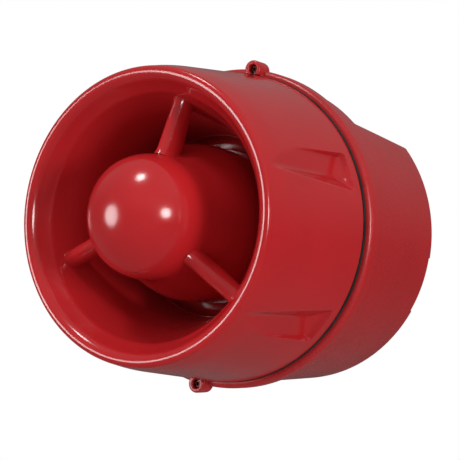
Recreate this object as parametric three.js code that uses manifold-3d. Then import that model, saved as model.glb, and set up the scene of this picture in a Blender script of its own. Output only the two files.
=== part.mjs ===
// Wall-mounted industrial alarm siren (electronic horn sounder), in millimetres, +Z up.
// The wall is the plane y = 0 and the horn looks along -Y. "Distance" always means the
// distance forward from the wall, and a "clock" angle runs from 12 o'clock towards +X.
import * as THREE from 'three';
import { mergeVertices } from 'three/addons/utils/BufferGeometryUtils.js';
import Module from 'manifold-3d';

const wasm = await Module();
wasm.setup();

// ---- driving dimensions -------------------------------------------------------------------
const RING_RADIUS = 82;          // outside of the mounting ring, the widest round part
const RIM_FRONT = 157;           // distance of the horn's rim
const RIM_RADIUS = 68.1;
const DRUM_BACK = 81.4;          // trailing edge of the horn's drum
const DRUM_BACK_RADIUS = 78.9;
const SHOULDER = 140.6;          // where the drum starts to round towards the rim
const SHOULDER_RADIUS = 73.3;
const WALL = 2.6;                // moulded wall thickness
const FLARE_BACK = 93.4;         // inner end of the horn's flare
const FLARE_BACK_RADIUS = 46;
const RING_FRONT = 79.2;
const RING_BACK = 70.4;
const BULKHEAD_FRONT = 78.4;
const BULKHEAD_BACK = 75.8;
const BASE_BACK_RADIUS = 78.2;
const BASE_FRONT_RADIUS = 79.3;
const BASE_WALL = 3;
const COLLAR_RADIUS = 79.9;      // raised band of the base just behind the ring
const FLAT_LENGTH = 52;          // conduit flat on top of the base
const FLAT_BACK_HEIGHT = 58;
const FLAT_FRONT_HEIGHT = 63.8;
const CAP_FRONT = 175;           // nose of the centre bullet
const CREASE_RADIUS = 26.5;      // where the bullet's round cap meets its skirt
const CREASE_FRONT = 162.2;
const SKIRT_RADIUS = 30;
const BELL_RADIUS = 39;
const BELL_BACK = 88;
const BULLET_WALL = 2.4;
const SCREW_CIRCLE = 81.6;       // radius of the two cover screws' axes
const LUG_FRONT = 83.3;
const LUG_RADIUS = 4.6;
const GAP = 0.3;                 // clearance between touching pieces
const POCKET_CLOCKS = [60, 120, 240, 300];
const STRUT_CLOCKS = [0, 120, 240];
const BIG = 40;                  // facets round a large turned piece
const MEDIUM = 28;
const MODEST = 20;
const SMALL = 12;

// ---- materials ----------------------------------------------------------------------------
const finish = (color, roughness, metalness = 0) =>
  new THREE.MeshStandardMaterial({ color, roughness, metalness });
const redPlastic = finish(0xb01c20, 0.22);
const darkPlastic = finish(0x4a0f10, 0.45);
const blackPlastic = finish(0x1b1b1d, 0.5);
const rubber = finish(0x141414, 0.85);
const steel = finish(0xb4b6b8, 0.35, 0.9);
const zinc = finish(0xc9cbc6, 0.3, 0.9);
const brass = finish(0xb88f3e, 0.35, 0.9);
const ferrite = finish(0x2d2d30, 0.7);
const copper = finish(0xb4682c, 0.35, 0.8);
const board = finish(0x1e5b33, 0.5);
const film = finish(0xc8a765, 0.4);
const green = finish(0x2f8f4a, 0.5);
const white = finish(0xe8e8e4, 0.5);
const blue = finish(0x2d5fae, 0.45);
const sleeve = finish(0x23262f, 0.4);

// ---- solids -------------------------------------------------------------------------------
// Merges the seams of a three.js geometry, drops collapsed triangles and turns it outwards.
function closedMesh(geometry) {
  const bare = geometry.clone();
  bare.deleteAttribute('normal');
  bare.deleteAttribute('uv');
  const merged = mergeVertices(bare, 1e-4);
  const place = merged.getAttribute('position');
  const index = merged.getIndex().array;
  const corners = [0, 1, 2].map(() => new THREE.Vector3());
  const triangles = [];
  let volume = 0;
  for (let i = 0; i < index.length; i += 3) {
    const [a, b, c] = [index[i], index[i + 1], index[i + 2]];
    if (a === b || b === c || c === a) continue;
    triangles.push(a, b, c);
    [a, b, c].forEach((vertex, k) => corners[k].fromBufferAttribute(place, vertex));
    volume += corners[0].dot(corners[1].clone().cross(corners[2]));
  }
  const triVerts = Uint32Array.from(volume < 0 ? triangles.reverse() : triangles);
  return new wasm.Mesh({ numProp: 3, vertProperties: Float32Array.from(place.array), triVerts });
}

const solid = (geometry) => new wasm.Manifold(closedMesh(geometry));
const join = (first, ...rest) => rest.reduce((sum, next) => sum.add(next), first);
const cut = (first, ...rest) => rest.reduce((sum, next) => sum.subtract(next), first);
const radians = (degrees) => THREE.MathUtils.degToRad(degrees);
const onClock = (radius, clock) => [radius * Math.sin(radians(clock)), radius * Math.cos(radians(clock))];

// A smooth outline as [radius, distance] points; each curve of it gets the same divisions.
function outline(draw, divisions = 3) {
  const path = new THREE.Path();
  draw(path);
  return path.getPoints(divisions).map((point) => [point.x, point.y]);
}

// Turns an outline of [radius, distance] points about an axis parallel to the siren's.
function turned(points, sides = BIG, x = 0, z = 0) {
  const profile = points.map(([radius, distance]) => new THREE.Vector2(radius, -distance));
  const onAxis = points[0][0] === 0 && points[points.length - 1][0] === 0;
  if (!onAxis) profile.push(profile[0].clone());
  return solid(new THREE.LatheGeometry(profile, sides).translate(x, 0, z));
}

const ring = (inner, outer, back, front, sides = BIG, x = 0, z = 0) =>
  turned([[inner, back], [outer, back], [outer, front], [inner, front]], sides, x, z);
const peg = (radius, back, front, x = 0, z = 0, sides = SMALL) =>
  turned([[0, back], [radius, back], [radius, front], [0, front]], sides, x, z);
const block = (xLow, xHigh, zLow, zHigh, back, front) =>
  solid(new THREE.BoxGeometry(xHigh - xLow, front - back, zHigh - zLow)
    .translate((xLow + xHigh) / 2, -(back + front) / 2, (zLow + zHigh) / 2));

// A shape seen from the side, as [distance, height] points, of some width and turned to a clock.
function sideCut(points, width, clock = 0) {
  const corners = points.map(([distance, height]) => new THREE.Vector2(distance, height));
  const shape = new THREE.Shape(corners);
  const geometry = new THREE.ExtrudeGeometry(shape, { depth: width, bevelEnabled: false });
  const basis = new THREE.Matrix4().makeBasis(
    new THREE.Vector3(0, -1, 0), new THREE.Vector3(0, 0, 1), new THREE.Vector3(-1, 0, 0));
  return solid(geometry.applyMatrix4(basis).translate(width / 2, 0, 0).rotateY(radians(clock)));
}

// Lays a shape drawn in x and y flat against the wall, its depth running away from the wall.
const FRONT_VIEW = new THREE.Matrix4().makeBasis(
  new THREE.Vector3(1, 0, 0), new THREE.Vector3(0, 0, 1), new THREE.Vector3(0, -1, 0));

// A shape seen from the front, as [x, z] points, between two distances and turned to a clock.
function frontCut(points, back, front, clock = 0) {
  const shape = new THREE.Shape(points.map(([x, z]) => new THREE.Vector2(x, z)));
  const geometry = new THREE.ExtrudeGeometry(shape, { depth: front - back, bevelEnabled: false });
  return solid(geometry.applyMatrix4(FRONT_VIEW).translate(0, -back, 0).rotateY(radians(clock)));
}

// An oval bar along a slanted line in a clock's plane, between [radius, distance] ends. At each end
// it has [half its width, half its depth along the siren's axis].
function slantedBar([radiusA, distanceA], [radiusB, distanceB], halvesA, halvesB, clock, sides = SMALL) {
  const start = new THREE.Vector3(0, -distanceA, radiusA);
  const end = new THREE.Vector3(0, -distanceB, radiusB);
  const along = end.clone().sub(start);
  const bar = new THREE.CylinderGeometry(1, 1, along.length(), sides);
  const place = bar.getAttribute('position');
  for (let i = 0; i < place.count; i += 1) {
    const share = place.getY(i) / along.length() + 0.5;
    place.setX(i, place.getX(i) * THREE.MathUtils.lerp(halvesA[0], halvesB[0], share));
    place.setZ(i, place.getZ(i) * THREE.MathUtils.lerp(halvesA[1], halvesB[1], share));
  }
  const upright = new THREE.Vector3(0, 1, 0);
  const turn = new THREE.Quaternion().setFromUnitVectors(upright, along.clone().normalize());
  const middle = start.add(end).multiplyScalar(0.5);
  return solid(bar.applyQuaternion(turn).translate(middle.x, middle.y, middle.z).rotateY(radians(clock)));
}

// ---- the assembly -------------------------------------------------------------------------
const siren = new THREE.Group();

function addPiece(name, body, material) {
  const { vertProperties, triVerts } = body.getMesh();
  const geometry = new THREE.BufferGeometry();
  geometry.setAttribute('position', new THREE.BufferAttribute(vertProperties, 3));
  geometry.setIndex(new THREE.BufferAttribute(triVerts, 1));
  const mesh = new THREE.Mesh(geometry, material);
  mesh.name = name;
  siren.add(mesh);
}

// ---- horn ---------------------------------------------------------------------------------
// The flare's inside face from the rim inwards; inset moves it towards the axis.
function drawFlare(path, inset = 0) {
  path.quadraticCurveTo(65.4 - inset, 156.8, 63.6 - inset, 153.6);
  path.quadraticCurveTo(61.8 - inset, 150.4, 59.5 - inset, 147.4);
  path.bezierCurveTo(57.6 - inset, 142, 54.6 - inset, 135, 52.9 - inset, 129);
  path.bezierCurveTo(50.8 - inset, 121, 47.9 - inset, 106, FLARE_BACK_RADIUS - inset, FLARE_BACK);
}

function drawHorn(path) {
  path.moveTo(76.4, DRUM_BACK);
  path.lineTo(77.9, DRUM_BACK);
  path.quadraticCurveTo(DRUM_BACK_RADIUS, DRUM_BACK, DRUM_BACK_RADIUS - 0.1, DRUM_BACK + 1.2);
  path.lineTo(SHOULDER_RADIUS, SHOULDER);
  path.bezierCurveTo(72.3, 149, 71.2, 152, 70.9, 154.6);
  path.quadraticCurveTo(70.5, RIM_FRONT, RIM_RADIUS, RIM_FRONT);
  drawFlare(path);
  path.lineTo(FLARE_BACK_RADIUS + WALL, FLARE_BACK - 0.2);
  path.bezierCurveTo(50.5, 106, 53.4, 121, 55.5, 128.3);
  path.lineTo(64.2, 148.6);
  path.quadraticCurveTo(67.5, 153, 69.4, 148);
  path.lineTo(SHOULDER_RADIUS - WALL, SHOULDER - 0.4);
}

// A scoop in the drum: a flat floor parallel to the axis, turned a little towards the siren's side.
// It runs out into the drum on one side and ends in a steep wall on the other side and a slope at
// the back. Across is measured from the floor's own middle line towards the siren's side.
const POCKET_TURN = 15;
const POCKET_FLOOR = 70;
const POCKET_SHALLOW = -27.1;
const POCKET_DEEP = -16.7;
const POCKET_DRAFT = 0.62;       // lean of the deep wall
const POCKET_BACK = 92.5;        // where the slope at the back meets the drum, at the deep corner
const POCKET_FRONT = 153;
const pocketEnd = (across, height) => POCKET_BACK + 0.6 * (across + 11.5) + 1.9 * (77.1 - height);

function pocketShape(clock, grow) {
  const side = Math.sign(Math.sin(radians(2 * clock)));
  const floor = POCKET_FLOOR - grow;
  const top = 80;
  const corners = [
    [POCKET_SHALLOW - grow, floor],
    [POCKET_DEEP + grow, floor],
    [POCKET_DEEP + grow + POCKET_DRAFT * (top - floor), top],
    [POCKET_SHALLOW - grow - 1, top],
  ];
  const shape = new THREE.Shape(corners.map(([across, height]) => new THREE.Vector2(across * side, height)));
  const prism = new THREE.ExtrudeGeometry(shape, { depth: POCKET_FRONT, bevelEnabled: false });
  const place = prism.getAttribute('position');
  for (let i = 0; i < place.count; i += 1) {
    if (place.getZ(i) < POCKET_FRONT) {
      place.setZ(i, pocketEnd(place.getX(i) * side, place.getY(i)) - 2.2 * grow);
    }
  }
  return solid(prism.applyMatrix4(FRONT_VIEW).rotateY(radians(clock + POCKET_TURN * side)));
}

const HORN_BOSS_CIRCLE = 53;
const HORN_BOSS_CLOCKS = [45, 135, 225, 315];
const STRUT_ROOT = [27.4, 142.6];
const STRUT_END = [55.8, 137.4];
const STRUT_ROOT_HALVES = [4.7, 8.5];
const STRUT_END_HALVES = [4.5, 5.7];
const strutPoint = (t) => STRUT_ROOT.map((start, k) => start + (STRUT_END[k] - start) * t);

function hornShell() {
  let shell = turned(outline(drawHorn));
  const insideDrum = turned(outline((path) => {
    path.moveTo(0, DRUM_BACK + 2);
    path.lineTo(DRUM_BACK_RADIUS - 0.5, DRUM_BACK + 2);
    path.lineTo(SHOULDER_RADIUS - 0.5, SHOULDER);
    path.lineTo(66, 150);
    path.lineTo(0, 150);
  }));
  for (const clock of POCKET_CLOCKS) {
    shell = join(shell, pocketShape(clock, 2).intersect(insideDrum));
  }
  for (const clock of POCKET_CLOCKS) {
    shell = cut(shell, pocketShape(clock, 0));
  }
  for (const clock of HORN_BOSS_CLOCKS) {
    const [x, z] = onClock(HORN_BOSS_CIRCLE, clock);
    shell = join(shell, peg(3.6, BULKHEAD_FRONT + GAP, 113, x, z));
    shell = cut(shell, peg(1.8, BULKHEAD_FRONT, 94, x, z));
  }
  for (const clock of STRUT_CLOCKS) {
    shell = cut(shell, slantedBar(strutPoint(0.9), strutPoint(1.3), [1.8, 1.8], [1.8, 1.8], clock));
  }
  return shell;
}

// ---- centre bullet with its three struts --------------------------------------------------
function drawBullet(path) {
  path.moveTo(0, CAP_FRONT);
  path.bezierCurveTo(10.4, CAP_FRONT, 20.1, 170.3, CREASE_RADIUS, CREASE_FRONT);
  path.quadraticCurveTo(SKIRT_RADIUS, CREASE_FRONT, SKIRT_RADIUS, 159.4);
  path.lineTo(SKIRT_RADIUS, 147);
  path.bezierCurveTo(30.4, 136, 38.6, 124, BELL_RADIUS, 112);
  path.lineTo(BELL_RADIUS, BELL_BACK + 1);
  path.quadraticCurveTo(BELL_RADIUS - BULLET_WALL / 2, BELL_BACK - 1,
    BELL_RADIUS - BULLET_WALL, BELL_BACK + 1);
  path.lineTo(BELL_RADIUS - BULLET_WALL, 112);
  path.bezierCurveTo(36.2, 124, 28, 136, SKIRT_RADIUS - BULLET_WALL, 147);
  path.lineTo(SKIRT_RADIUS - BULLET_WALL, 157);
  path.bezierCurveTo(20, 167.6, 10, 172.4, 0, 172.4);
}

function bullet() {
  let body = turned(outline(drawBullet), MEDIUM);
  const mouth = turned(outline((path) => {
    path.moveTo(0, RIM_FRONT);
    path.lineTo(RIM_RADIUS - GAP, RIM_FRONT);
    drawFlare(path, GAP);
    path.lineTo(0, FLARE_BACK);
  }));
  const hollow = turned(outline((path) => {
    path.moveTo(0, BELL_BACK);
    path.lineTo(BELL_RADIUS - BULLET_WALL, BELL_BACK);
    path.lineTo(BELL_RADIUS - BULLET_WALL, 112);
    path.bezierCurveTo(36.2, 124, 28, 136, SKIRT_RADIUS - BULLET_WALL, 147);
    path.lineTo(SKIRT_RADIUS - BULLET_WALL, 157);
    path.lineTo(0, 157);
  }), MEDIUM);
  for (const clock of STRUT_CLOCKS) {
    let strut = slantedBar(strutPoint(0), strutPoint(1.15), STRUT_ROOT_HALVES, STRUT_END_HALVES, clock, 16);
    strut = strut.intersect(mouth);
    strut = cut(strut, hollow);
    body = join(body, strut);
    body = cut(body, slantedBar(strutPoint(0.7), strutPoint(1.1), [1.55, 1.55], [1.55, 1.55], clock));
  }
  return body;
}

// A pan-head screw along the axis: its head faces the wall or the front.
const pan = (head, headBack, headFront, shank, tip, x, z, sides = 8) => {
  const inwards = tip > headFront;
  const points = inwards
    ? [[0, headBack], [head * 0.7, headBack], [head, headBack + 0.6], [head, headFront],
      [shank, headFront], [shank, tip], [0, tip]]
    : [[0, tip], [shank, tip], [shank, headBack], [head, headBack], [head, headFront - 0.4],
      [head * 0.8, headFront], [0, headFront]];
  return turned(points, sides, x, z);
};

function strutScrew(clock) {
  const shank = slantedBar(strutPoint(0.78), strutPoint(1.15), [1.4, 1.4], [1.4, 1.4], clock);
  const head = slantedBar(strutPoint(1.145), strutPoint(1.22), [3, 3], [2.6, 2.6], clock);
  return join(shank, head);
}

// ---- throat: back bowl and the tube that feeds the bullet ----------------------------------
const TUBE_FRONT = 146;
const SPIGOT_BACK = 76.2;
const SPIGOT_RADIUS = 11.6;

function drawThroat(path) {
  path.moveTo(9, SPIGOT_BACK);
  path.lineTo(13.4, TUBE_FRONT);
  path.lineTo(15.4, TUBE_FRONT);
  path.lineTo(15.4, 90);
  path.bezierCurveTo(15.4, 83, 18, 81, 24, 81);
  path.lineTo(42.2, 84.2);
  path.bezierCurveTo(44.4, 84.6, 45.6, 87, FLARE_BACK_RADIUS - 0.2, FLARE_BACK - 0.6);
  path.lineTo(FLARE_BACK_RADIUS + 2.4, FLARE_BACK - 0.8);
  path.bezierCurveTo(46.6, 83.6, 42, BULKHEAD_FRONT + 0.5, 30, BULKHEAD_FRONT + 0.4);
  path.lineTo(SPIGOT_RADIUS, BULKHEAD_FRONT + 0.4);
  path.lineTo(SPIGOT_RADIUS, SPIGOT_BACK);
}

// ---- mounting ring with its bulkhead and two lugs ------------------------------------------
const LUG_CLOCKS = [0, 180];
const BULKHEAD_HOLE = 12.2;
const SPIGOT_WALL = [73.6, 75.6];
const EAR_RADIUS = 3;
const EAR_FRONT = 76.4;
const SCREW_SEAT = 78.3;         // bottom of the hole in a lug that the cover screw's head sits in
const DRIVER_SCREW_CIRCLE = 40.3;
const DRIVER_SCREW_CLOCKS = [60, 180, 300];
const PILLAR_CIRCLE = 50;
const PILLAR_CLOCKS = [30, 150, 270];

function drawRing(path) {
  path.moveTo(RING_RADIUS - 2.7, RING_BACK);
  path.lineTo(RING_RADIUS - 0.7, RING_BACK);
  path.quadraticCurveTo(RING_RADIUS, RING_BACK, RING_RADIUS, RING_BACK + 0.9);
  path.lineTo(RING_RADIUS, RING_FRONT - 1.8);
  path.quadraticCurveTo(RING_RADIUS, RING_FRONT, RING_RADIUS - 1.8, RING_FRONT);
  path.lineTo(SPIGOT_WALL[1], RING_FRONT);
  path.lineTo(SPIGOT_WALL[1], 84.5);
  path.lineTo(SPIGOT_WALL[0], 84.5);
  path.lineTo(SPIGOT_WALL[0], BULKHEAD_FRONT);
  path.lineTo(BULKHEAD_HOLE, BULKHEAD_FRONT);
  path.lineTo(BULKHEAD_HOLE, BULKHEAD_BACK);
  path.lineTo(RING_RADIUS - 2.7, BULKHEAD_BACK);
}

function mountingRing() {
  let body = turned(outline(drawRing));
  for (const clock of LUG_CLOCKS) {
    const [x, z] = onClock(SCREW_CIRCLE, clock);
    const side = Math.sign(z);
    const low = Math.min(z, 79.5 * side);
    const high = Math.max(z, 79.5 * side);
    const boss = turned([[0, RING_BACK], [LUG_RADIUS - 1.2, RING_BACK], [LUG_RADIUS, RING_BACK + 2.2],
      [LUG_RADIUS, LUG_FRONT - 0.5], [LUG_RADIUS - 0.5, LUG_FRONT], [0, LUG_FRONT]], 20, x, z);
    const foot = block(-LUG_RADIUS, LUG_RADIUS, low, high, RING_BACK + 1, LUG_FRONT - 0.5);
    const lug = cut(join(boss, foot), peg(DRUM_BACK_RADIUS + 0.4, RING_FRONT, LUG_FRONT + 1, 0, 0, BIG),
      peg(RING_RADIUS - 2.7, RING_BACK - 1, BULKHEAD_BACK - 0.01, 0, 0, BIG));
    body = join(body, lug);
    const inwards = side > 0 ? [low - 3, z] : [z, high + 3];
    const half = EAR_RADIUS + GAP;
    const slot = block(-half, half, ...inwards, RING_BACK - 1, BULKHEAD_BACK - 0.01);
    body = cut(body, peg(half, RING_BACK - 1, EAR_FRONT + 0.5, x, z), slot);
    body = cut(body, peg(1.65, RING_BACK, LUG_FRONT, x, z), peg(2.4, SCREW_SEAT, LUG_FRONT + 1, x, z));
  }
  for (const clock of HORN_BOSS_CLOCKS) {
    const [x, z] = onClock(HORN_BOSS_CIRCLE, clock);
    body = cut(body, peg(1.8, BULKHEAD_BACK - 1, BULKHEAD_FRONT + 1, x, z));
  }
  for (const clock of DRIVER_SCREW_CLOCKS) {
    const [x, z] = onClock(DRIVER_SCREW_CIRCLE, clock);
    body = cut(body, peg(1.7, BULKHEAD_BACK - 1, BULKHEAD_FRONT + 1, x, z));
  }
  return body;
}

// ---- compression driver -------------------------------------------------------------------
const DRIVER_PLATE_BACK = 71.6;
const HOUSING_RADIUS = 37.5;

const driverPieces = {
  driver_front_plate: [zinc, () => {
    let plate = turned([[9, 75.4], [43, 75.4], [43, DRIVER_PLATE_BACK + 0.4], [20, DRIVER_PLATE_BACK],
      [20, DRIVER_PLATE_BACK + 0.6], [9, 73.6]], MODEST);
    for (const clock of DRIVER_SCREW_CLOCKS) {
      plate = cut(plate, peg(1.7, 70, 76, ...onClock(DRIVER_SCREW_CIRCLE, clock)));
    }
    return plate;
  }],
  driver_clamp_ring: [steel, () => ring(20, 34.5, 65.3, 71.2, MODEST)],
  driver_diaphragm: [film, () => turned([[0, 70.4], [8, 69.7], [15.4, 67.4], [19.6, 67.4], [19.6, 68],
    [15.6, 68], [8, 70.3], [0, 71]], MODEST)],
  driver_voice_coil: [copper, () => ring(16, 16.9, 60.6, 67.1, MODEST)],
  driver_top_plate: [steel, () => ring(17.6, 34.5, 61, 65, MODEST)],
  driver_magnet: [ferrite, () => ring(20, 34, 49, 60.7, MODEST)],
  driver_yoke: [steel, () => turned([[0, 44.6], [34, 44.6], [34, 48.7], [15.2, 48.7], [15.2, 65],
    [0, 65]], MODEST)],
  driver_housing: [blackPlastic, () => turned([[0, 42], [HOUSING_RADIUS - 2, 42], [HOUSING_RADIUS, 44],
    [HOUSING_RADIUS, 71.2], [HOUSING_RADIUS - 2.5, 71.2], [HOUSING_RADIUS - 2.5, 44.3],
    [0, 44.3]], MODEST)],
};

// ---- electronics in the head --------------------------------------------------------------
const HEAD_BOARD_BACK = 33.5;
const HEAD_BOARD_FRONT = 35.1;
const PLUG_X = [0, 20];
const PLUG_Z = [-46, -34];
const SWITCH_WAYS = 5;
const SWITCH_PITCH = 2.54;
const SWITCH_Z = 30;
const TRIMMER = [-30, 18];

const wayX = (way) => (way - (SWITCH_WAYS + 1) / 2) * SWITCH_PITCH;

function headBoard() {
  let plate = peg(56, HEAD_BOARD_BACK, HEAD_BOARD_FRONT, 0, 0, MEDIUM);
  for (const clock of PILLAR_CLOCKS) {
    const [x, z] = onClock(PILLAR_CIRCLE, clock);
    plate = cut(plate, peg(1.6, HEAD_BOARD_BACK - 1, HEAD_BOARD_FRONT + 1, x, z));
  }
  return plate;
}

// A hexagonal pillar whose thin end passes through the board and is riveted over behind it.
function pillar(clock) {
  const [x, z] = onClock(PILLAR_CIRCLE, clock);
  const post = peg(3.2, HEAD_BOARD_FRONT + 0.2, BULKHEAD_BACK - GAP, x, z, 6);
  const stem = peg(1.4, HEAD_BOARD_BACK - 1, HEAD_BOARD_FRONT + 1, x, z);
  const rivet = peg(2.4, HEAD_BOARD_BACK - 1.2, HEAD_BOARD_BACK - 0.2, x, z);
  return join(post, stem, rivet);
}

function switchBody() {
  let body = block(-8, 8, SWITCH_Z - 4.8, SWITCH_Z + 4.8, 29.5, HEAD_BOARD_BACK - 0.2);
  for (let way = 1; way <= SWITCH_WAYS; way += 1) {
    const x = wayX(way);
    body = cut(body, block(x - 0.85, x + 0.85, SWITCH_Z - 1.9, SWITCH_Z + 1.9, 29, 30.8));
  }
  return body;
}

function switchLever(way) {
  const x = wayX(way);
  const slider = block(x - 0.7, x + 0.7, SWITCH_Z - 1.7, SWITCH_Z + 0.1, 29.6, 30.6);
  const nib = block(x - 0.5, x + 0.5, SWITCH_Z - 1.4, SWITCH_Z - 0.2, 28.6, 29.8);
  return join(slider, nib);
}

function trimmerBody() {
  const [x, z] = TRIMMER;
  const body = block(x - 4.8, x + 4.8, z - 4.8, z + 4.8, 28.6, HEAD_BOARD_BACK - 0.2);
  return cut(body, peg(3.5, 28, 30.6, x, z, 24));
}

function trimmerRotor() {
  const [x, z] = TRIMMER;
  const rotor = peg(3.2, 27.6, 30.3, x, z, 24);
  return cut(rotor, block(x - 0.5, x + 0.5, z - 1.2, z + 2.6, 27, 28.6));
}

function capacitor(clock) {
  const [x, z] = onClock(46.5, clock);
  return turned([[0, 35.4], [6.1, 35.4], [6.3, 36.4], [6.3, 37.4], [5.9, 37.9], [6.3, 38.4],
    [6.3, 55], [5.8, 55.5], [0, 55.5]], 20, x, z);
}

function inductor() {
  const [x, z] = onClock(47, 200);
  return turned([[0, 35.4], [8, 35.4], [8, 37.4], [6.4, 38], [6.4, 45], [8, 45.6], [8, 47.6],
    [0, 47.6]], 20, x, z);
}

function headPlug() {
  const body = block(...PLUG_X, ...PLUG_Z, 24.6, HEAD_BOARD_BACK - 0.2);
  const blade = block(PLUG_X[0] + 3.6, PLUG_X[1] - 3.6, -40.8, -39.2, 14, 26);
  return join(body, blade);
}

// The two leads run from the driver's side to the board, side by side.
const LEAD_RADIUS = 0.8;
const LEAD_HEIGHT = HOUSING_RADIUS + 0.4;

function driverLead(x) {
  const route = new THREE.CatmullRomCurve3([
    new THREE.Vector3(x, -52, LEAD_HEIGHT),
    new THREE.Vector3(x, -51.6, LEAD_HEIGHT + 3),
    new THREE.Vector3(x, -48, LEAD_HEIGHT + 5.4),
    new THREE.Vector3(x, -42, LEAD_HEIGHT + 6),
    new THREE.Vector3(x, -HEAD_BOARD_FRONT - 0.3, LEAD_HEIGHT + 6),
  ]);
  const section = new THREE.Shape().absarc(0, 0, LEAD_RADIUS, 0, 2 * Math.PI);
  return solid(new THREE.ExtrudeGeometry(section, { steps: 10, curveSegments: 8, extrudePath: route }));
}

// ---- cover screws -------------------------------------------------------------------------
function coverScrew(clock) {
  const [x, z] = onClock(SCREW_CIRCLE, clock);
  const headBack = SCREW_SEAT + 0.9;
  const body = pan(2.1, headBack, headBack + 1.9, 1.45, 71.2, x, z, 20);
  return cut(body, peg(1.15, headBack + 0.7, headBack + 3, x, z, 6));
}

const screwSeal = (clock) =>
  ring(1.6, 2.2, SCREW_SEAT + 0.15, SCREW_SEAT + 0.7, SMALL, ...onClock(SCREW_CIRCLE, clock));
const brassInsert = (clock) => ring(1.6, 2.3, 71, 76.2, SMALL, ...onClock(SCREW_CIRCLE, clock));

// ---- base ---------------------------------------------------------------------------------
const FIXING_HOLES = [[0, 46], ...[120, 240].map((clock) => onClock(62, clock))];
const CABLE_ENTRY = [0, 22];
const CABLE_ENTRY_RADIUS = 10.2;
const CONDUIT_DISTANCE = 26;
const CONDUIT_RADIUS = 10.2;
const BOARD_PINS = [[-27, -26], [27, -26], [-2, -45]];
const PRY_NOTCH = [88.5, 110.5];  // clock angles of the shallow notch in the back edge
const flatHeight = (distance) =>
  FLAT_BACK_HEIGHT + (FLAT_FRONT_HEIGHT - FLAT_BACK_HEIGHT) * distance / FLAT_LENGTH;

function flatWedge(grow) {
  const end = FLAT_LENGTH + grow;
  return sideCut([[-5, flatHeight(-5) - grow], [end, flatHeight(end) - grow], [end, 95], [-5, 95]], 220);
}

// A hole or plug square to the sloping conduit flat, from one height above it to another.
function onFlat(radius, low, high, sides = 24) {
  const slope = Math.atan2(FLAT_FRONT_HEIGHT - FLAT_BACK_HEIGHT, FLAT_LENGTH);
  const shape = new THREE.CylinderGeometry(radius, radius, high - low, sides);
  shape.translate(0, (low + high) / 2, 0).rotateX(Math.PI / 2 - slope);
  return solid(shape.translate(0, -CONDUIT_DISTANCE, flatHeight(CONDUIT_DISTANCE)));
}

function notchShape() {
  const steps = 4;
  const points = [];
  for (let i = 0; i <= steps; i += 1) {
    points.push(onClock(77.3, PRY_NOTCH[0] + (PRY_NOTCH[1] - PRY_NOTCH[0]) * i / steps));
  }
  for (let i = steps; i >= 0; i -= 1) {
    points.push(onClock(82, PRY_NOTCH[0] + (PRY_NOTCH[1] - PRY_NOTCH[0]) * i / steps));
  }
  return frontCut(points, -1, 2);
}

function baseShell() {
  const outside = turned(outline((path) => {
    path.moveTo(0, 0);
    path.lineTo(BASE_BACK_RADIUS - 1.4, 0);
    path.quadraticCurveTo(BASE_BACK_RADIUS, 0, BASE_BACK_RADIUS, 1.4);
    path.lineTo(BASE_FRONT_RADIUS, 65.4);
    path.lineTo(COLLAR_RADIUS, 66);
    path.lineTo(COLLAR_RADIUS, 69.2);
    path.quadraticCurveTo(COLLAR_RADIUS, 70, RING_RADIUS - 3, 70);
    path.lineTo(RING_RADIUS - 3, 74);
    path.lineTo(0, 74);
  }));
  const inside = turned([[0, BASE_WALL], [75, BASE_WALL], [75.9, 80], [0, 80]]);
  let shell = cut(outside, flatWedge(0), cut(inside, flatWedge(BASE_WALL)));
  for (const clock of LUG_CLOCKS) {
    const [x, z] = onClock(SCREW_CIRCLE, clock);
    const low = Math.min(z, 77.5 * Math.sign(z));
    const high = Math.max(z, 77.5 * Math.sign(z));
    const bridge = block(-EAR_RADIUS, EAR_RADIUS, low, high, 70.8, 73.9);
    shell = join(shell, peg(EAR_RADIUS, 70.8, EAR_FRONT, x, z), bridge);
    shell = cut(shell, peg(2.4, 70, 77, x, z));
  }
  for (const [x, z] of FIXING_HOLES) {
    shell = join(shell, peg(6, 1, 6, x, z));
    const countersink = turned([[0, 3.4], [2.6, 3.4], [5, 6.1], [0, 6.1]], SMALL, x, z);
    shell = cut(shell, peg(2.6, -1, 7, x, z), countersink);
  }
  for (const [x, z] of BOARD_PINS) {
    shell = join(shell, peg(3, 2, 8.8, x, z), peg(1.3, 2, 11.4, x, z));
  }
  const cableHole = peg(CABLE_ENTRY_RADIUS, -1, 4, ...CABLE_ENTRY, 24);
  return cut(shell, cableHole, onFlat(CONDUIT_RADIUS, -8, 4), notchShape());
}

// A rubber grommet with a thin membrane, gripping the edge of the cable entry.
function cableGrommet() {
  const r = CABLE_ENTRY_RADIUS - 0.2;
  return turned([[0, 1.4], [7, 1.4], [7, 0.4], [r, 0.4], [r, 3.3], [r + 2, 3.3], [r + 2, 5.2],
    [8, 5.2], [6, 2.2], [0, 2.2]], 24, ...CABLE_ENTRY);
}

const conduitPlug = () =>
  join(onFlat(CONDUIT_RADIUS - 0.2, -4.6, 0.6), onFlat(CONDUIT_RADIUS + 1.6, 0.3, 2));

// ---- electronics in the base --------------------------------------------------------------
const BASE_BOARD = [9, 10.6];
const TERMINAL_WAYS = 4;
const TERMINAL_PITCH = 5.5;
const TERMINAL_LEFT = -26;
const TERMINAL_Z = [-49.5, -39.5];
const terminalX = (way) => TERMINAL_LEFT + TERMINAL_PITCH * (way - 0.5);
const terminalMiddle = (TERMINAL_Z[0] + TERMINAL_Z[1]) / 2;

function terminalBoard() {
  let plate = block(-32, 32, -51.5, -21.5, ...BASE_BOARD);
  for (const [x, z] of BOARD_PINS) {
    plate = cut(plate, peg(1.6, BASE_BOARD[0] - 1, BASE_BOARD[1] + 1, x, z));
  }
  return plate;
}

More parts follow.
